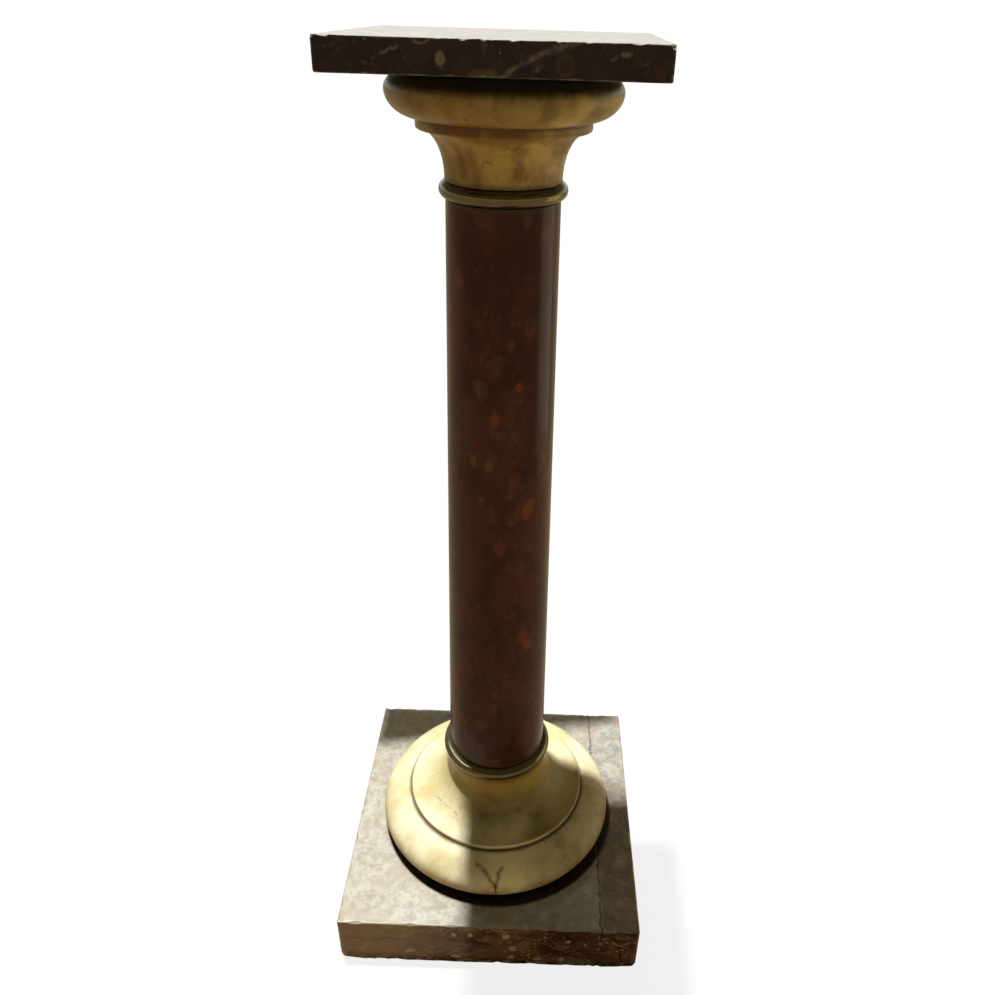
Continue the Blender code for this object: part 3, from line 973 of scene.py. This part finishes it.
# Lit and shaded copies of one patina: the lower ring's is painted lighter, and made less metallic below,
# for the light it catches; the upper ring's is painted darker for the shade under the capital
lit_lower_patina = (0.090, 0.080, 0.046)
shaded_upper_patina = (0.046, 0.035, 0.015)
brass_dirt = (0.018, 0.014, 0.008)
lower_bore = 0.0514
lower_bead_middle = 0.0611
upper_bore = 0.0453
upper_bead_middle = 0.0550


def make_brass(name, patina, least_metal):
    material, tree = empty_material(name)
    place = put(tree, "ShaderNodeTexCoord").outputs["Object"]
    stains = cloud(tree, place, 60.0, 7.0)
    rubbed = put(tree, "ShaderNodeAttribute", None, attribute_name="rubbed").outputs["Fac"]
    bright = work(tree, "MULTIPLY_ADD", rubbed, 0.9, stains.outputs["Fac"])
    bright = ease(tree, bright, 0.62, 1.25)
    colour = lay_over(tree, bright, (*patina, 1.0), brass_bright)
    specks = cloud(tree, place, 420.0, 4.0, 0.5).outputs["Fac"]
    dirt = ease(tree, specks, 0.56, 0.70)
    colour = lay_over(tree, dirt, colour, brass_dirt, 0.6)
    crevice = ease(tree, rubbed, 0.0, 0.35, 1.0, 0.0)
    colour = lay_over(tree, crevice, colour, brass_dirt, 0.75)
    rough = ramp(tree, stains.outputs["Fac"], 0.3, 0.7, 0.13, 0.26)
    metal = ramp(tree, bright, 0.0, 1.0, least_metal, 1.0)
    bump = put(tree, "ShaderNodeBump", {"Height": specks, "Distance": 0.00006, "Strength": 0.5})
    finish_material(tree, {
        "Base Color": colour, "Metallic": metal, "Roughness": rough,
        "Normal": bump.outputs["Normal"],
    })
    return material


def make_ring(name, low, high, bore, bead_middle):
    """A ring turned from its bore, two flats and a half-round bead, with the bead's height kept."""
    half_height = (high.z - low.z) / 2
    crest = high.x
    middle = (bead_middle, low.z + half_height)
    profile = [(bore, high.z)] + arc(middle, crest - bead_middle, half_height, 90, -90, 28)
    profile += [(bore, low.z), (bore, high.z)]
    shape = turn_stone(profile, turning_steps)
    rubbed = shape.verts.layers.float.new("rubbed")
    for corner in shape.verts:
        radius = math.hypot(corner.co.x, corner.co.y)
        corner[rubbed] = max(0.0, (radius - bead_middle) / (crest - bead_middle))
    return mesh_piece(name, shape, math.radians(50))


lower_bead = make_ring("lower_brass_ring", ring_low, ring_high, lower_bore, lower_bead_middle)
lower_bead.data.materials.append(make_brass("aged brass, below", lit_lower_patina, 0.40))
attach(lower_bead, "root")
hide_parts("lower_ring")
# The gleam lamp lights this ring alone
gleam_catch = bpy.data.collections.new("gleam catch")
gleam_catch.objects.link(lower_bead)
gleam.light_linking.receiver_collection = gleam_catch

upper_low, upper_high = (Vector(corner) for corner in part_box("upper_ring"))
upper_bead = make_ring("upper_brass_ring", upper_low, upper_high, upper_bore, upper_bead_middle)
upper_bead.data.materials.append(make_brass("aged brass, above", shaded_upper_patina, 0.62))
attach(upper_bead, "root")
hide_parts("upper_ring")


# The shaft: one tapered drum of polished red-brown marble. Salmon and grey shell sections lie in
# it, and a fine hairline crack runs down the lower front.
shaft_low, shaft_high = (Vector(corner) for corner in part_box("shaft"))
shaft_foot_radius = shaft_high.x
shaft_top_radius = 0.0565
upper_spigot_radius = 0.0450
seat_gap = 0.0003
shaft_foot_z = ring_high.z + seat_gap
shaft_head_z = upper_low.z - seat_gap
shaft_dark = (0.038, 0.0074, 0.0028)
shaft_body = (0.080, 0.0185, 0.0064)
shaft_patch = (0.140, 0.070, 0.038)
shaft_shell = (0.210, 0.125, 0.080)
salmon = (0.210, 0.060, 0.026)
# Middle and half-size of the larger salmon sections, as they lie at the front
salmon_sections = [
    ((-0.0045, -0.0581, 0.7042), (0.0068, 0.0068, 0.0100)),
    ((0.0204, -0.0541, 0.7412), (0.0050, 0.0060, 0.0060)),
    ((0.0352, -0.0475, 0.6030), (0.0070, 0.0060, 0.0052)),
    ((-0.0094, -0.0579, 0.6503), (0.0045, 0.0060, 0.0090)),
    ((-0.0268, -0.0522, 0.6539), (0.0050, 0.0060, 0.0090)),
    ((0.0369, -0.0483, 0.4061), (0.0080, 0.0080, 0.0100)),
    ((0.0333, -0.0490, 0.5923), (0.0090, 0.0080, 0.0110)),
]
shaft_hairline = [[(-0.0109, -0.0590, 0.4983), (-0.0096, -0.0597, 0.4606), (-0.0070, -0.0603, 0.4275)]]
# Dirt and painted shade where the shaft meets each ring
shaft_crevices = [(0.0626, 0.2121, 0.0090, 0.7), (0.0565, 0.9173, 0.0080, 0.7)]


def make_shaft_marble():
    material, tree = empty_material("red-brown marble")
    place, moved = wandering(tree, 130.0, 0.008)
    stretch = vector_work(tree, "MULTIPLY", place, (1.0, 1.0, 0.62))
    bed = ask_group(tree, fossil_group, {
        "Vector": stretch, "Dark": (*shaft_dark, 1.0), "Body": (*shaft_body, 1.0),
        "Patch": (*shaft_patch, 1.0), "Shell": (*shaft_shell, 1.0),
        "Patch Scale": 62.0, "Patch Amount": 0.6, "Thread Amount": 0.12, "Shell Amount": 0.14,
    })
    colour = bed["Colour"]
    discs = []
    for middle, radii in salmon_sections:
        section = ask_group(tree, shell_group, {"Vector": moved, "Middle": middle, "Radii": radii})
        discs.append(section["Disc"])
    colour = lay_over(tree, most(tree, discs), colour, salmon, 0.5)
    more = put(tree, "ShaderNodeTexVoronoi", {"Vector": stretch, "Scale": 38.0})
    pick = put(tree, "ShaderNodeSeparateColor", {0: more.outputs["Color"]}).outputs[2]
    oval = ease(tree, more.outputs["Distance"], 0.16, 0.34, 1.0, 0.0)
    oval = times(tree, oval, ease(tree, pick, 0.80, 0.86))
    colour = lay_over(tree, oval, colour, salmon, 0.30)
    colour = lay_grime_and_shade(tree, place, colour, shaft_crevices)
    hairline = streaks(tree, moved, shaft_hairline, 0.0008)
    colour = lay_over(tree, hairline, colour, shaft_dark, 0.8)
    haze = cloud(tree, place, 9.0, 5.0, 0.5).outputs["Fac"]
    rough = ramp(tree, haze, 0.3, 0.7, 0.15, 0.26)
    shade_stone(tree, place, colour, rough, bed["Height"], hairline, 0.0, plinth_dust_and_glare, 0.19, 0.00006)
    return material


def make_shaft():
    edge = 0.0006
    profile = [(0.0, shaft_high.z), (upper_spigot_radius, shaft_high.z)]
    profile += [(upper_spigot_radius, shaft_head_z)]
    profile += [(shaft_top_radius - edge, shaft_head_z), (shaft_top_radius, shaft_head_z - edge)]
    rows = 40
    for row in range(1, rows):
        share = row / rows
        radius = shaft_top_radius + (shaft_foot_radius - shaft_top_radius) * share
        profile.append((radius, shaft_head_z + (shaft_foot_z - shaft_head_z) * share))
    profile += [(shaft_foot_radius, shaft_foot_z + edge), (shaft_foot_radius - edge, shaft_foot_z)]
    profile += [(lower_spigot_radius, shaft_foot_z), (lower_spigot_radius, shaft_low.z)]
    profile += [(0.0, shaft_low.z)]
    return mesh_piece("polished_shaft", turn_stone(profile, turning_steps), math.radians(30))


shaft = make_shaft()
shaft.data.materials.append(make_shaft_marble())
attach(shaft, "root")
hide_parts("shaft")


# The capital: one turned stone of ochre marble, the base upside down at a smaller size. Brown
# veins wander over it, and rusty ones stain the fillet.
capital_low, capital_high = (Vector(corner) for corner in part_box("capital"))
capital_torus_radius = capital_high.x
capital_torus_reach = 0.031
capital_torus_lower = 0.0246
capital_torus_upper = 0.0187
capital_fillet_radius = 0.0835
capital_fillet_height = 0.0093
capital_fillet_round = 0.0025
capital_flare_height = 0.0440
capital_neck_radius = 0.0571
capital_cream = (0.520, 0.370, 0.115)
capital_ochre = (0.345, 0.205, 0.034)
capital_blush = (0.370, 0.235, 0.074)
capital_vein = (0.120, 0.052, 0.013)
rust = (0.140, 0.050, 0.016)
capital_threads = [
    [(-0.0546, -0.0901, 0.9999), (-0.0505, -0.0983, 1.0101), (-0.0438, -0.1018, 1.0154)],
    [(-0.0046, -0.1055, 1.0002), (0.0, -0.1063, 1.0012), (-0.0014, -0.1032, 0.9977)],
    [(-0.0298, -0.0995, 0.9985), (-0.0254, -0.0973, 0.9956)],
    [(-0.0245, -0.1081, 1.0132), (-0.0220, -0.1082, 1.0095)],
    [(0.0060, -0.0668, 0.9719), (0.0111, -0.0650, 0.9704), (0.0162, -0.0657, 0.9727),
     (0.0155, -0.0699, 0.9765)],
    [(-0.0166, -0.0568, 0.9542), (-0.0135, -0.0585, 0.9575), (-0.0090, -0.0594, 0.9578),
     (-0.0060, -0.0595, 0.9564)],
    [(0.0366, -0.0638, 0.9778), (0.0381, -0.0578, 0.9743)],
    [(-0.0208, -0.0803, 0.9811), (-0.0145, -0.0675, 0.9741)],
]
capital_bands = [
    [(-0.0293, -0.0559, 0.9651), (-0.0258, -0.0539, 0.9564), (-0.0228, -0.0537, 0.9507),
     (-0.0229, -0.0522, 0.9383)],
    [(-0.0393, -0.0516, 0.9685), (-0.0353, -0.0479, 0.9552), (-0.0332, -0.0466, 0.9420)],
    [(0.0177, -0.0626, 0.9688), (0.0156, -0.0584, 0.9583), (0.0150, -0.0555, 0.9449)],
]
capital_rust = [
    [(-0.0572, -0.0608, 0.9869), (-0.0421, -0.0721, 0.9865), (-0.0208, -0.0809, 0.9855)],
    [(-0.0060, -0.0832, 0.9862), (0.0184, -0.0814, 0.9862)],
]
capital_patches = [
    [(-0.0766, -0.0800, 1.0100), (-0.0673, -0.0869, 1.0063)],
    [(-0.0521, -0.0980, 1.0129), (-0.0452, -0.1003, 1.0066)],
]
# Dirt and painted shade at the fillet and the neck; the two wide ones under the slab are painted shade on
# the torus's top
capital_crevices = [
    (0.0838, 0.9900, 0.0045, 0.7), (0.0860, 1.0360, 0.0420, 0.60), (0.0860, 1.0340, 0.0230, 0.85),
    (0.0571, 0.9335, 0.0070, 0.6),
]


def make_capital_marble():
    material, tree = empty_material("ochre marble")
    place, moved = wandering(tree, 110.0, 0.009)
    stone = ask_group(tree, vein_group, {
        "Vector": place, "Cream": (*capital_cream, 1.0), "Ochre": (*capital_ochre, 1.0),
        "Blush": (*capital_blush, 1.0), "Vein": (*capital_vein, 1.0),
        "Ochre Amount": 0.10, "Vein Amount": 0.28,
    })
    colour = stone["Colour"]
    clouds = cloud(tree, moved, 22.0, 6.0)
    cloudy = ease(tree, clouds.outputs["Fac"], 0.44, 0.58)
    colour = lay_over(tree, cloudy, colour, (0.140, 0.080, 0.020), 0.62)
    places = axes(tree, moved)
    # Partly the torus's brown, partly painted shade: the torus painted darker except on its right, where
    # more light reaches it
    torus = ease(tree, places["Z"], 0.9890, 0.9990)
    brown = times(tree, torus, ease(tree, places["X"], 0.080, 0.020))
    colour = lay_over(tree, brown, colour, (0.150, 0.092, 0.022), 0.52)
    west = ease(tree, places["X"], 0.000, -0.030)
    colour = lay_over(tree, west, colour, (0.260, 0.125, 0.018), 0.38)
    colour = lay_grime_and_shade(tree, place, colour, capital_crevices)
    # Painted shadow: the top of the torus painted near black under the slab
    painted_slab_shadow = ease(tree, places["Z"], 1.0110, 1.0225)
    colour = lay_over(tree, painted_slab_shadow, colour, (0.012, 0.008, 0.004), 0.93)
    broken = ramp(tree, clouds.outputs["Fac"], 0.34, 0.58, 0.35, 1.0)
    bands = times(tree, streaks(tree, moved, capital_bands, 0.0110), broken)
    colour = lay_over(tree, bands, colour, capital_vein, 0.90)
    patches = times(tree, streaks(tree, moved, capital_patches, 0.0150), broken)
    colour = lay_over(tree, patches, colour, (0.170, 0.072, 0.014), 0.60)
    colour = lay_over(tree, streaks(tree, moved, capital_rust, 0.0095), colour, rust, 0.90)
    colour = lay_over(tree, streaks(tree, moved, capital_threads, 0.0019), colour, capital_vein, 0.55)
    rough = work(tree, "MULTIPLY_ADD", stone["Veins"], 0.12, 0.30)
    height = times(tree, stone["Veins"], -0.3)
    shade_stone(tree, place, colour, rough, height, stone["Veins"], turned_dust_amount, turned_dust,
                0.18, 0.0002)
    return material


def make_capital():
    flare_bottom = upper_high.z + 0.0023
    fillet_bottom = flare_bottom + capital_flare_height
    fillet_top = fillet_bottom + capital_fillet_height
    torus = (capital_torus_radius - capital_torus_reach, fillet_top + capital_torus_lower)
    meeting = math.degrees(math.acos((capital_fillet_radius - torus[0]) / capital_torus_reach))
    flare_head = capital_fillet_radius - capital_fillet_round
    neck_bottom = upper_high.z + seat_gap
    profile = [(0.0, capital_high.z)] + arc(torus, capital_torus_reach, capital_torus_upper, 90, 0, 24)
    profile += arc(torus, capital_torus_reach, capital_torus_lower, 0, 0.5 - meeting, 24)[1:]
    corner = torus[1] - capital_torus_lower * math.sin(math.radians(meeting))
    profile += [(capital_fillet_radius, corner)]
    round_middle = (flare_head, fillet_bottom + capital_fillet_round)
    profile += arc(round_middle, capital_fillet_round, capital_fillet_round, 0, -90, 6)
    flare_reach = flare_head - capital_neck_radius
    profile += arc((flare_head, flare_bottom), flare_reach, capital_flare_height, 90, 180, 26)[1:]
    profile += [(capital_neck_radius, neck_bottom), (upper_spigot_radius, neck_bottom)]
    profile += [(upper_spigot_radius, capital_low.z), (0.0, capital_low.z)]
    return mesh_piece("turned_capital", turn_stone(profile, turning_steps), math.radians(40))


capital = make_capital()
capital.data.materials.append(make_capital_marble())
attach(capital, "root")
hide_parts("capital")


# The top slab: a thin square of the plinth's fossil marble, darker and better polished, laid a
# little out of line with the plinth. Its arrises are nicked, and a pale vein, a crinoid section and
# shells show on the front edge.
slab_low, slab_high = (Vector(corner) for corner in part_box("top_slab"))
slab_twist = math.radians(-1.8)
slab_width = (slab_high.x - slab_low.x) / (math.cos(slab_twist) + abs(math.sin(slab_twist)))
slab_thickness = slab_high.z - slab_low.z
slab_cuts = 99
slab_arris = 0.0012
slab_front = -slab_width / 2
slab_dark = (0.0095, 0.0040, 0.0025)
slab_body = (0.027, 0.0092, 0.0048)
slab_patch = (0.058, 0.036, 0.022)
slab_shell = (0.170, 0.125, 0.085)
# Dust and painted glare: the pale film turns the slab's dark polished top near white, as a glancing
# reflection would
slab_dust_and_glare = (0.600, 0.590, 0.535)
slab_vein_colour = (0.150, 0.112, 0.072)
slab_vein = [[(0.009, 1.0340), (0.0162, 1.0401), (0.0395, 1.0520), (0.0664, 1.0590)]]
slab_pale_streaks = [
    [(-0.086, 1.0480), (-0.0727, 1.0536)],
    [(-0.0600, 1.0572), (-0.0545, 1.0556), (-0.0475, 1.0575)],
]
crinoid = ((-0.0395, 1.0454), (0.0048, 0.0059))
crinoid_core = ((-0.0390, 1.0452), (0.0022, 0.0028))
red_oval = ((0.0566, 1.0433), (0.0080, 0.0087))
olive_patch = ((-0.0063, 1.0360), (0.0135, 0.0034))
pale_shells = [
    ((0.1020, 1.0520), (0.0050, 0.0028)), ((-0.0970, 1.0575), (0.0014, 0.0014)),
    ((0.0066, 1.0510), (0.0016, 0.0012)),
]
red_spots = [((-0.0920, 1.0390), (0.0030, 0.0044)), ((0.1300, 1.0400), (0.0050, 0.0060))]


def on_slab_front(point):
    """A place on the slab's front edge, given across and up, before the slab is turned."""
    return (point[0], slab_front, point[1])


def make_slab_marble():
    material, tree = empty_material("slab fossil marble")
    coordinates = put(tree, "ShaderNodeTexCoord").outputs["Object"]
    place = put(tree, "ShaderNodeMapping", {"Vector": coordinates, "Rotation": (0.0, 0.0, -slab_twist)})
    place = place.outputs["Vector"]
    moved = pushed(tree, place, cloud(tree, place, 150.0, 4.0, 0.5), 0.005)
    bed = ask_group(tree, fossil_group, {
        "Vector": place, "Dark": (*slab_dark, 1.0), "Body": (*slab_body, 1.0),
        "Patch": (*slab_patch, 1.0), "Shell": (*slab_shell, 1.0),
        "Patch Scale": 52.0, "Patch Amount": 0.6, "Thread Amount": 0.32, "Shell Amount": 0.35,
    })
    colour = bed["Colour"]

    def section(shell, part):
        (x, z), (radius_x, radius_z) = shell
        sockets = {"Vector": moved, "Middle": on_slab_front((x, z)), "Radii": (radius_x, 0.006, radius_z)}
        return ask_group(tree, shell_group, sockets)[part]

    colour = lay_over(tree, section(olive_patch, "Disc"), colour, (0.085, 0.066, 0.028), 0.7)
    for spot in red_spots:
        colour = lay_over(tree, section(spot, "Disc"), colour, (0.060, 0.013, 0.008), 0.6)
    colour = lay_over(tree, section(red_oval, "Disc"), colour, (0.042, 0.013, 0.007), 0.70)
    colour = lay_over(tree, section(red_oval, "Rim"), colour, (0.085, 0.050, 0.028), 0.32)
    pale = [section(shell, "Disc") for shell in pale_shells]
    colour = lay_over(tree, most(tree, pale), colour, slab_shell, 0.7)
    runs = [[on_slab_front(point) for point in run] for run in slab_vein]
    broken = cloud(tree, place, 240.0, 4.0, 0.7).outputs["Fac"]
    broken = ramp(tree, broken, 0.38, 0.60, 0.25, 1.0)
    vein = times(tree, streaks(tree, moved, runs, 0.0034), broken)
    colour = lay_over(tree, vein, colour, slab_vein_colour, 0.85)
    runs = [[on_slab_front(point) for point in run] for run in slab_pale_streaks]
    colour = lay_over(tree, streaks(tree, moved, runs, 0.0016), colour, slab_vein_colour, 0.8)
    colour = lay_over(tree, section(crinoid, "Disc"), colour, (0.190, 0.145, 0.100), 0.85)
    colour = lay_over(tree, section(crinoid_core, "Disc"), colour, (0.120, 0.085, 0.060), 0.7)
    wear = put(tree, "ShaderNodeAttribute", None, attribute_name="wear").outputs["Fac"]
    colour = lay_over(tree, wear, colour, (0.260, 0.225, 0.180), 0.45)
    rough = work(tree, "MULTIPLY_ADD", wear, 0.35, 0.13)
    shade_stone(tree, place, colour, rough, bed["Height"], bed["Shells"], 0.72, slab_dust_and_glare, 0.22, 0.00005)
    return material


def make_slab():
    size = (slab_width, slab_width, slab_thickness)
    side = slab_width / 2
    edge_lines = (-side, side)
    across = crowded_lines(slab_width, slab_cuts + 1, edge_lines, 0.005, 5.0)
    up = crowded_lines(slab_thickness, slab_cuts + 1, (), 0.0, 1.0)
    block = sawn_block(slab_cuts, [across, across, up])
    wear = block.verts.layers.float.new("wear")
    wear_arrises(block, size, slab_arris, slab_arris, wear)
    rng = random.Random(12)
    chips = []
    for place, way in edge_places(size, rng, 0.013):
        depth = 0.0002 + 0.0011 * rng.random() ** 4
        chips.append((place, way, depth + slab_arris * 0.35, 0.002 + 3.0 * depth))
    top = slab_thickness / 2
    corner = Vector((side, -side, top))
    chips.append((corner, Vector((0.5, -0.6, 0.7)).normalized(), 0.0036, 0.0075))
    chips.append((Vector((-side, -side, top)), Vector((-0.5, -0.6, 0.7)).normalized(), 0.0024, 0.0060))
    strike_chips(block, size, chips, wear)
    bmesh.ops.translate(block, vec=(0.0, 0.0, slab_low.z + slab_thickness / 2), verts=block.verts)
    turn = Matrix.Rotation(slab_twist, 3, "Z")
    bmesh.ops.rotate(block, cent=(0.0, 0.0, 0.0), matrix=turn, verts=block.verts)
    return mesh_piece("worn_top_slab", block)


slab = make_slab()
slab.data.materials.append(make_slab_marble())
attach(slab, "root")
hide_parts("top_slab")
